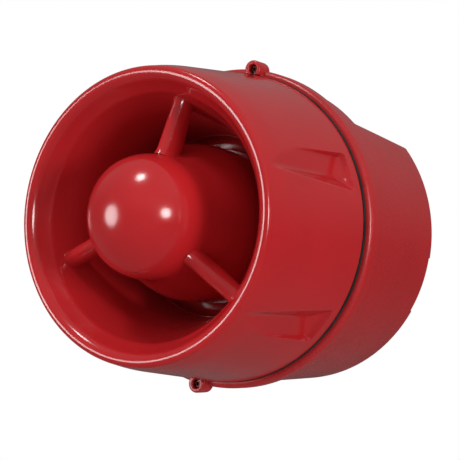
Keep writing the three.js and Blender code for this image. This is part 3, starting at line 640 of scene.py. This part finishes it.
def conduit_plug():
    outline = rounded((0, -4.6, 0), (10, -4.6, 0.6), (10, 0.15, 0), (11.8, 0.15, 0.3), (11.8, 2, 0.9),
                      (6, 2, 0.3), (5, 1.4, 0.3), (0, 1.4, 0), closed=False)
    return mesh_object("conduit_blanking_plug", on_flat(outline))


def grommet():
    r = 10
    outline = rounded((0, 1.4, 0), (6.6, 1.4, 0.4), (7, 0.4, 0.3), (r, 0.4, 0.5), (r, 3.3, 0.2),
                      (r + 2, 3.3, 0.4), (r + 2, 5.2, 0.8), (8, 5.2, 0.6), (6, 2.2, 0.5), (0, 2.2, 0),
                      closed=False)
    return mesh_object("grommet", turned(outline, ROUND, middle_of("cable_grommet")))


def band(name, node, inner, fillet=0.2):
    """A thin turned band such as a gasket or a seal, in its CAD node's place."""
    centre = middle_of(node)
    outer = radius_of(node) - centre[0]
    back, front = back_of(node), front_of(node)
    outline = rounded((inner, back, fillet), (outer, back, fillet), (outer, front, fillet),
                      (inner, front, fillet))
    return mesh_object(name, turned(outline, FINE if outer > 20 else 48, centre))


def cover_screw(end):
    node = f"cover_screw_{end}"
    centre = middle_of(node)
    front, tip = front_of(node), back_of(node)
    head_back = front - 1.9
    body = rounded((0, tip, 0), (0.9, tip, 0.2), (1.42, tip + 0.6, 0.2), (1.42, head_back, 0.1),
                   (2.1, head_back, 0.2), (2.1, front, 0.45), (0, front, 0), closed=False)
    piece = mesh_object(f"screw_{end}", turned(body, 48, centre))
    socket = turned(disc_outline(1.15, front - 1.2, 90), 6, centre)
    return combine(piece, mesh_object("socket", socket), "DIFFERENCE")


# ---- materials ----------------------------------------------------------------------------------
def new_material(name):
    material = bpy.data.materials.new(name)
    material.use_nodes = True
    return material, material.node_tree.nodes["Principled BSDF"]


def node(material, kind, inputs=None, **settings):
    """A new node; inputs are values or other nodes' outputs, by socket name or number."""
    made = material.node_tree.nodes.new(kind)
    for key, value in settings.items():
        setattr(made, key, value)
    for key, value in (inputs or {}).items():
        if isinstance(value, bpy.types.NodeSocket):
            material.node_tree.links.new(value, made.inputs[key])
        else:
            made.inputs[key].default_value = value
    return made


def wire(material, output, socket):
    material.node_tree.links.new(output, socket)


def noise(material, scale, detail=3, roughness=0.5):
    place = node(material, "ShaderNodeTexCoord").outputs["Object"]
    return node(material, "ShaderNodeTexNoise",
                {"Vector": place, "Scale": scale, "Detail": detail, "Roughness": roughness}).outputs["Fac"]


def spread(material, value, low, high, from_low=0.3, from_high=0.7):
    """Maps a value from its usual spread to low..high."""
    inputs = {"Value": value, "From Min": from_low, "From Max": from_high, "To Min": low, "To Max": high}
    return node(material, "ShaderNodeMapRange", inputs).outputs["Result"]


def blended(material, factor, first, second):
    """Mixes two colours, each of them a tuple or another node's output."""
    made = node(material, "ShaderNodeMix", {0: factor}, data_type="RGBA")
    for socket, colour in ((made.inputs[6], first), (made.inputs[7], second)):
        if isinstance(colour, bpy.types.NodeSocket):
            wire(material, colour, socket)
        else:
            socket.default_value = (*colour, 1)
    return made.outputs[2]


def tinted(colour, by):
    return tuple(min(1.0, c * by) for c in colour)


def bumped(material, shader, *layers):
    """Stacks bump layers of (height, strength, depth in millimetres) on the shader's normal."""
    normal = None
    for height, strength, depth in layers:
        inputs = {"Height": height, "Strength": strength, "Distance": depth * MM}
        if normal is not None:
            inputs["Normal"] = normal
        normal = node(material, "ShaderNodeBump", inputs).outputs["Normal"]
    wire(material, normal, shader.inputs["Normal"])


def moulded_plastic(name, colour, roughness=0.16, peel=0.03, edge_highlight=0.12):
    """Glossy coloured moulding: faint orange peel, slow drift of colour and gloss, and a painted highlight that
    pales its sharp edges.
    """
    material, shader = new_material(name)
    drift = spread(material, noise(material, 22, 4), 0, 1)
    speck = spread(material, noise(material, 1400, 2), 0, 1, 0.62, 0.8)
    body = blended(material, drift, tinted(colour, 0.94), tinted(colour, 1.05))
    # Painted highlight: sharp convex edges are paled towards white, as if catching light.
    sharpness = node(material, "ShaderNodeNewGeometry").outputs["Pointiness"]
    edge = spread(material, sharpness, 0, edge_highlight, 0.52, 0.62)
    pale = tuple(c + (1 - c) * 0.12 for c in colour)
    wire(material, blended(material, edge, body, pale), shader.inputs["Base Color"])
    haze = spread(material, noise(material, 60, 5, 0.65), roughness * 0.82, roughness * 1.25)
    dull_specks = spread(material, speck, 0, 0.05, 0, 1)
    rough = node(material, "ShaderNodeMath", {0: haze, 1: dull_specks}, operation="ADD").outputs[0]
    wire(material, rough, shader.inputs["Roughness"])
    bumped(material, shader, (noise(material, 420, 2), peel, 0.3),
           (noise(material, 2600, 1), peel * 0.4, 0.1))
    shader.inputs["IOR"].default_value = 1.53
    return material


def rubber(name):
    material, shader = new_material(name)
    grain = noise(material, 1600, 3)
    dusting = spread(material, noise(material, 90, 4), 0, 1)
    wire(material, blended(material, dusting, (0.012, 0.012, 0.012), (0.03, 0.029, 0.028)),
         shader.inputs["Base Color"])
    wire(material, spread(material, grain, 0.7, 0.95), shader.inputs["Roughness"])
    bumped(material, shader, (grain, 0.25, 0.15))
    shader.inputs["IOR"].default_value = 1.35
    return material


def metal(name, colour, roughness=0.3, stretch=(1, 30, 1), tarnish=0.25):
    """Metal with fine drawn lines along Y unless stretched otherwise, and patches of tarnish."""
    material, shader = new_material(name)
    place = node(material, "ShaderNodeTexCoord").outputs["Object"]
    drawn = node(material, "ShaderNodeMapping", {"Vector": place, "Scale": stretch}).outputs["Vector"]
    lines = node(material, "ShaderNodeTexNoise", {"Vector": drawn, "Scale": 260, "Detail": 4}).outputs["Fac"]
    patches = spread(material, noise(material, 120, 4, 0.6), 0, tarnish)
    wire(material, blended(material, patches, colour, tinted(colour, 0.45)), shader.inputs["Base Color"])
    wire(material, spread(material, lines, roughness * 0.7, roughness * 1.4), shader.inputs["Roughness"])
    bumped(material, shader, (lines, 0.12, 0.05))
    shader.inputs["Metallic"].default_value = 1.0
    return material


def satin(name, colour, roughness=0.45, grain_scale=900, grain=0.12):
    """Plain moulded or coated surface with a fine texture and slightly uneven colour."""
    material, shader = new_material(name)
    texture = noise(material, grain_scale, 3)
    drift = spread(material, noise(material, 70, 4), 0, 1)
    wire(material, blended(material, drift, tinted(colour, 0.85), tinted(colour, 1.1)),
         shader.inputs["Base Color"])
    wire(material, spread(material, texture, roughness * 0.8, roughness * 1.2), shader.inputs["Roughness"])
    bumped(material, shader, (texture, grain, 0.12))
    return material


RED = (0.46, 0.0148, 0.018)
red_plastic = moulded_plastic("siren_red", RED)
base_red = moulded_plastic("base_red", tinted(RED, 0.92), roughness=0.27, peel=0.015)
ring_red = moulded_plastic("ring_red", tinted(RED, 0.95), roughness=0.28, peel=0.015)
throat_red = moulded_plastic("throat_red", RED, roughness=0.14)
black_rubber = rubber("rubber")
# Steel tinted dark red: painted shade, so the screw head reads as the shaded red bore round it.
red_shade_steel = metal("red_shade_steel", (0.1, 0.035, 0.035), roughness=0.35)

# ---- pieces -------------------------------------------------------------------------------------
finished(horn(), "head", ["horn_shell"], red_plastic)
finished(bullet(), "head", ["centre_bullet"], red_plastic)
finished(throat(), "head", ["throat_bowl"], throat_red)
finished(mounting_ring(), "head", ["mounting_ring"], ring_red)
finished(band("drum_gasket", "horn_gasket", 76), "head", ["horn_gasket"], black_rubber)
finished(band("rear_gasket", "base_gasket", 76.3), "head", ["base_gasket"], black_rubber)
finished(base(), "base", ["base_shell"], base_red)
finished(conduit_plug(), "base", ["conduit_plug"], base_red)
finished(grommet(), "base", ["cable_grommet"], black_rubber)
for end in SCREW_ENDS:
    finished(cover_screw(end), f"{end}_screw", [f"cover_screw_{end}"], red_shade_steel)
    finished(band(f"seal_{end}", f"screw_seal_{end}", 1.6, 0.12), f"{end}_seal", [f"screw_seal_{end}"],
             black_rubber)

# ---- pieces inside ------------------------------------------------------------------------------
def box(centre, half_x, half_z, back, front):
    """A box round a line parallel to the axis, as (vertices, faces)."""
    corners = [(centre[0] + x, -d, centre[1] + z)
               for x in (-half_x, half_x) for d in (back, front) for z in (-half_z, half_z)]
    return corners, BOX_FACES


def pan_screw(name, node, head, shank, head_height, faces_wall=True):
    """A cross-recessed pan-head screw in its CAD node's place."""
    centre = middle_of(node)
    if faces_wall:
        top, tip, way = back_of(node), front_of(node), 1
    else:
        top, tip, way = front_of(node), back_of(node), -1
    under = top + way * head_height
    threads = []
    for d in np.arange(under + way * 1.2, tip - way * 0.8, way * 0.5):
        threads += [(shank, d), (shank - 0.22, d + way * 0.25)]
    rim = (head, top + way * head_height * 0.7)
    outline = [(0, top)] + curve((head * 0.35, top), (head, top), rim, steps=8)
    outline += [(head, under), (shank, under)] + threads + [(shank - 0.3, tip - way * 0.3), (0, tip)]
    piece = mesh_object(name, turned(outline, 40, centre))
    for long, wide in ((head * 0.55, 0.35), (0.35, head * 0.55)):
        low, high = sorted((top - way * 1.0, top + way * head_height * 0.55))
        combine(piece, mesh_object("recess", box(centre, long, wide, low, high)), "DIFFERENCE")
    return piece


def driver_housing():
    """The driver's back cover, with a stepped rear face and cooling ribs round its side."""
    node = "driver_housing"
    back, front, r = back_of(node), front_of(node), radius_of(node)
    side = []
    for d in np.arange(back + 5, front - 4, 3.0):
        side += [(r, d, 0.3), (r, d + 1.6, 0.3), (r - 0.7, d + 1.9, 0.3), (r - 0.7, d + 2.7, 0.3)]
    outline = rounded((0, back + 0.8, 0), (14, back + 0.8, 0.4), (15, back, 0.6), (r - 2, back, 1.2),
                      (r, back + 2, 1.5), *side, (r, front, 0.4), (r - 2.5, front, 0.3),
                      (r - 2.5, back + 2.3, 0.5), (0, back + 2.3, 0), closed=False)
    return mesh_object("driver_cover", turned(outline, 120))


def capacitor(number):
    """An electrolytic capacitor: shrunk sleeve, crimp groove and a dished metal end with scored vents."""
    node = f"capacitor_{number}"
    centre = middle_of(node)
    back, front = back_of(node), front_of(node)
    r = radius_of(node) - centre[0]
    outline = rounded((0, back, 0), (r - 0.3, back, 0.4), (r, back + 1, 0.3), (r, back + 2, 0.4),
                      (r - 0.5, back + 2.6, 0.5), (r, back + 3.2, 0.4), (r, front, 0.7),
                      (r - 1.1, front, 0.2), (r - 1.3, front - 0.3, 0.2), (0, front - 0.3, 0), closed=False)
    piece = mesh_object(f"capacitor_can_{number}", turned(outline, 64, centre))
    for long, wide in ((r * 0.55, 0.12), (0.12, r * 0.55)):
        combine(piece, mesh_object("score", box(centre, long, wide, front - 0.5, front + 1)), "DIFFERENCE")
    return piece


def inductor():
    """A ferrite bobbin wound with enamelled wire, turn beside turn."""
    node = "inductor"
    centre = middle_of(node)
    back, front = back_of(node), front_of(node)
    wire_radius, core = 0.38, 6.1
    wound = []
    for d in np.arange(back + 2.6 + wire_radius, front - 2.6, 2 * wire_radius):
        wound += [(core + wire_radius * math.sin(t), d - wire_radius * math.cos(t))
                  for t in np.linspace(0.1, 3.04, 6)]
    behind = rounded((0, back, 0), (8, back, 0.3), (8, back + 2, 0.3), (core, back + 2.5, 0.2), closed=False)
    ahead = rounded((core, front - 2.5, 0.2), (8, front - 2, 0.3), (8, front, 0.3), (0, front, 0), closed=False)
    return mesh_object("choke", turned(behind + wound + ahead, 64, centre))


def smooth_by_angle():
    """A node group that smooths a CAD node's shading wherever its faces meet at a shallow angle."""
    group = bpy.data.node_groups.new("smooth_by_angle", "GeometryNodeTree")
    group.interface.new_socket("Geometry", in_out="INPUT", socket_type="NodeSocketGeometry")
    group.interface.new_socket("Geometry", in_out="OUTPUT", socket_type="NodeSocketGeometry")
    start = group.nodes.new("NodeGroupInput")
    end = group.nodes.new("NodeGroupOutput")
    every_face = group.nodes.new("GeometryNodeSetShadeSmooth")
    angle = group.nodes.new("GeometryNodeInputMeshEdgeAngle")
    shallow = group.nodes.new("FunctionNodeCompare")
    shallow.operation = "LESS_THAN"
    shallow.inputs["B"].default_value = math.radians(34)
    by_edge = group.nodes.new("GeometryNodeSetShadeSmooth")
    by_edge.domain = "EDGE"
    group.links.new(start.outputs[0], every_face.inputs["Geometry"])
    group.links.new(angle.outputs["Unsigned Angle"], shallow.inputs["A"])
    group.links.new(every_face.outputs[0], by_edge.inputs["Geometry"])
    group.links.new(shallow.outputs[0], by_edge.inputs["Shade Smooth"])
    group.links.new(by_edge.outputs[0], end.inputs[0])
    return group


def dressed(material, *nodes, bevel=0.15):
    """Gives CAD nodes that show as they are their material, broken edges and smooth shading."""
    for name in nodes:
        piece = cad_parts[name]
        piece.data.materials.clear()
        piece.data.materials.append(material)
        step = piece.modifiers.new("edges", "BEVEL")
        step.width = bevel * MM
        step.segments = 2
        step.limit_method = "ANGLE"
        step.angle_limit = math.radians(38)
        piece.modifiers.new("smooth", "NODES").node_group = SMOOTHING


def circuit_board(name):
    """Green solder mask over raised copper tracks, with tinned pads."""
    material, shader = new_material(name)
    place = node(material, "ShaderNodeTexCoord").outputs["Object"]
    turn = {"Vector": place, "Rotation": (math.pi / 2, 0, 0)}
    flat = node(material, "ShaderNodeMapping", turn).outputs["Vector"]
    bricks = {"Vector": flat, "Scale": 220, "Mortar Size": 0.09, "Mortar Smooth": 0.1,
              "Brick Width": 1.7, "Row Height": 0.55}
    tracks = node(material, "ShaderNodeTexBrick", bricks, offset=0.37, squash=1.8).outputs["Fac"]
    spots = {"Vector": flat, "Scale": 190, "Randomness": 0.55}
    cells = node(material, "ShaderNodeTexVoronoi", spots).outputs["Distance"]
    pads = spread(material, cells, 1, 0, 0.16, 0.19)
    mask = blended(material, tracks, (0.006, 0.085, 0.028), (0.015, 0.17, 0.05))
    wire(material, blended(material, pads, mask, (0.62, 0.62, 0.58)), shader.inputs["Base Color"])
    wire(material, pads, shader.inputs["Metallic"])
    wire(material, spread(material, noise(material, 400, 3), 0.22, 0.36), shader.inputs["Roughness"])
    bumped(material, shader, (tracks, 0.25, 0.08), (pads, 0.3, 0.15))
    return material


SMOOTHING = smooth_by_angle()
black_plastic = satin("black_plastic", (0.02, 0.02, 0.022), 0.42)
zinc_plate = metal("zinc_plate", (0.62, 0.62, 0.6), 0.28)
bare_steel = metal("steel", (0.5, 0.5, 0.51), 0.34)
yellow_brass = metal("brass", (0.72, 0.46, 0.16), 0.3, tarnish=0.4)
enamelled = metal("enamelled_copper", (0.62, 0.2, 0.07), 0.25, tarnish=0.3)
ferrite = satin("ferrite", (0.03, 0.03, 0.033), 0.6, grain_scale=2200, grain=0.3)
green_board = circuit_board("board_green")
polyester_film = satin("film", (0.52, 0.33, 0.1), 0.25, grain_scale=500, grain=0.05)
terminal_green = satin("terminal_green", (0.03, 0.24, 0.06), 0.42)
switch_blue = satin("switch_blue", (0.02, 0.09, 0.38), 0.4)
lever_white = satin("lever_white", (0.76, 0.75, 0.7), 0.4)
shrunk_sleeve = satin("capacitor_sleeve", (0.012, 0.016, 0.03), 0.26, grain_scale=300, grain=0.08)
red_wire = satin("lead_red", (0.4, 0.015, 0.018), 0.38, grain_scale=600)
black_wire = satin("lead_black", (0.014, 0.014, 0.015), 0.38, grain_scale=600)

finished(band("throat_gasket", "throat_seal", 10, 0.08), "head", ["throat_seal"], black_rubber)
finished(driver_housing(), "head", ["driver_housing"], black_plastic)
for end in SCREW_ENDS:
    insert = band(f"insert_{end}", f"brass_insert_{end}", 1.6, 0.2)
    finished(insert, "base", [f"brass_insert_{end}"], yellow_brass)
for i in range(1, 5):
    screw = pan_screw(f"horn_fixing_{i}", f"horn_screw_{i}", 3.2, 1.55, 2.4)
    finished(screw, "head", [f"horn_screw_{i}"], zinc_plate)
    screw = pan_screw(f"clamp_screw_{i}", f"terminal_screw_{i}", 1.7, 1, 2.3, faces_wall=False)
    finished(screw, f"terminal_screw_body_{i}", [f"terminal_screw_{i}"], zinc_plate)
for i in range(1, 4):
    screw = pan_screw(f"driver_fixing_{i}", f"driver_screw_{i}", 2.6, 1.45, 2.0)
    finished(screw, "head", [f"driver_screw_{i}"], zinc_plate)
for i in range(1, 3):
    finished(capacitor(i), "head", [f"capacitor_{i}"], shrunk_sleeve)
finished(inductor(), "head", ["inductor"], enamelled)

dressed(zinc_plate, "driver_front_plate", *[f"strut_screw_{i}" for i in range(1, 4)])
dressed(bare_steel, "driver_clamp_ring", "driver_top_plate", "driver_yoke")
dressed(ferrite, "driver_magnet", bevel=0.4)
dressed(polyester_film, "driver_diaphragm", bevel=0.05)
dressed(enamelled, "driver_voice_coil", bevel=0.1)
dressed(red_wire, "driver_lead_positive", bevel=0.05)
dressed(black_wire, "driver_lead_negative", bevel=0.05)
dressed(green_board, "head_board", "terminal_board", bevel=0.1)
dressed(yellow_brass, *[f"board_pillar_{i}" for i in range(1, 4)])
dressed(switch_blue, "tone_switch_body", "volume_trimmer_body")
dressed(lever_white, "volume_trimmer_rotor", *[f"tone_switch_lever_{i}" for i in range(1, 6)], bevel=0.1)
dressed(black_plastic, "head_plug", "base_socket", bevel=0.25)
dressed(terminal_green, "terminal_block", bevel=0.2)

# ---- floor, backdrop, lights and camera -----------------------------------------------------------
AIM = Vector((21, -110, 0)) * MM
LAMP_DISTANCE = 1.2
CAMERA_DISTANCE = 0.68
# (share of the way from floor to ceiling, grey)
ROOM_GREYS = ((0.02, 0.15), (0.25, 0.16), (0.42, 0.09), (0.52, 0.08), (0.68, 0.24), (0.98, 0.36))


def direction(azimuth, elevation):
    """Unit vector from the siren: azimuth 0 is straight in front of it, 90 is to +X."""
    a, e = math.radians(azimuth), math.radians(elevation)
    return Vector((math.sin(a) * math.cos(e), -math.cos(a) * math.cos(e), math.sin(e)))


def lamp(name, azimuth, elevation, spread_angle, radiance, lights=True, shows=True):
    """A round soft lamp, as wide as the angle it covers seen from the siren. It can be left without
    its light on matt surfaces, or without its reflection in glossy ones."""
    light = bpy.data.lights.new(name, "AREA")
    light.shape = "DISK"
    light.size = 2 * LAMP_DISTANCE * math.tan(math.radians(spread_angle / 2))
    light.energy = radiance * math.pi * math.pi * light.size**2 / 4
    holder = bpy.data.objects.new(name, light)
    holder.visible_diffuse = lights
    holder.visible_glossy = shows
    bpy.context.scene.collection.objects.link(holder)
    towards = direction(azimuth, elevation)
    holder.location = AIM + towards * LAMP_DISTANCE
    holder.rotation_euler = towards.to_track_quat("Z", "Y").to_euler()


def studio():
    lamp("key", -44, -6.4, 24, 9.6)
    lamp("camera_side", 44, 11.3, 14, 22, lights=False)
    lamp("upper_left", -30, 53, 11, 26)
    lamp("right", 76, 12, 18, 20, shows=False)
    lamp("front_fill", 10, 5, 60, 0.7, shows=False)
    lamp("upper_fill", 60, 55, 40, 1.2, shows=False)
    lamp("low_fill", 72, -30, 50, 0.8, shows=False)
    world = bpy.data.worlds.new("studio")
    world.use_nodes = True
    tree = world.node_tree
    towards = tree.nodes.new("ShaderNodeTexCoord").outputs["Generated"]
    parts = tree.nodes.new("ShaderNodeSeparateXYZ")
    height = tree.nodes.new("ShaderNodeMapRange")
    height.inputs["From Min"].default_value = -1
    ramp = tree.nodes.new("ShaderNodeValToRGB").color_ramp
    for share, grey in ROOM_GREYS:
        stop = ramp.elements.new(share)
        stop.color = (grey, grey, grey, 1)
    ramp.elements.remove(ramp.elements[0])
    ramp.elements.remove(ramp.elements[-1])
    tree.links.new(towards, parts.inputs[0])
    tree.links.new(parts.outputs["Z"], height.inputs["Value"])
    tree.links.new(height.outputs["Result"], tree.nodes["Color Ramp"].inputs["Fac"])
    tree.links.new(tree.nodes["Color Ramp"].outputs["Color"], tree.nodes["Background"].inputs["Color"])
    bpy.context.scene.world = world


def backdrop():
    """A white sphere that only the camera sees, and a pale floor that fades into it."""
    rows = [(0, -3.0), *[(3 * math.sin(t), -3 * math.cos(t)) for t in np.linspace(0.1, 3.04, 30)], (0, 3.0)]
    sphere = mesh_object("backdrop", turned([(r / MM, d / MM) for r, d in rows], 48))
    glow = bpy.data.materials.new("backdrop")
    glow.use_nodes = True
    tree = glow.node_tree
    tree.nodes.clear()
    emission = tree.nodes.new("ShaderNodeEmission")
    emission.inputs["Color"].default_value = (1, 1, 1, 1)
    emission.inputs["Strength"].default_value = 1.0
    out = tree.nodes.new("ShaderNodeOutputMaterial")
    tree.links.new(emission.outputs[0], out.inputs[0])
    sphere.data.materials.append(glow)
    for ray in ("diffuse", "glossy", "transmission", "volume_scatter", "shadow"):
        setattr(sphere, f"visible_{ray}", False)
    vertices, faces = turned([(0, 0), (200, 0), (1400, 0), (2200, 0), (2200, 1), (0, 1)], 96)
    level = cad_low.z / MM - 215
    floor = mesh_object("floor", ([(x, z, y + level) for x, y, z in vertices], faces))
    material, shader = new_material("floor")
    shader.inputs["Base Color"].default_value = (0.8, 0.8, 0.8, 1)
    shader.inputs["Roughness"].default_value = 0.6
    place = node(material, "ShaderNodeTexCoord").outputs["Object"]
    flat = node(material, "ShaderNodeMapping", {"Vector": place, "Scale": (1, 1, 0)}).outputs["Vector"]
    away = node(material, "ShaderNodeVectorMath", {0: flat}, operation="LENGTH").outputs["Value"]
    wire(material, spread(material, away, 1, 0, 0.1, 0.42), shader.inputs["Alpha"])
    floor.data.materials.append(material)
    floor.visible_glossy = False


def camera():
    """Level with the siren and 32 degrees to its right, tilted a little about its own axis."""
    data = bpy.data.cameras.new("camera")
    data.sensor_width = 36
    data.lens = 109.6
    data.clip_start = 0.01
    data.clip_end = 20
    holder = bpy.data.objects.new("camera", data)
    bpy.context.scene.collection.objects.link(holder)
    towards = direction(32.45, 1.7)
    roll = Matrix.Rotation(math.radians(10.2), 4, "Z")
    place = Matrix.Translation(AIM + towards * CAMERA_DISTANCE)
    facing = towards.to_track_quat("Z", "Y").to_matrix().to_4x4()
    holder.matrix_world = place @ facing @ roll
    bpy.context.scene.camera = holder


studio()
backdrop()
camera()
bpy.context.scene.view_settings.view_transform = "Standard"
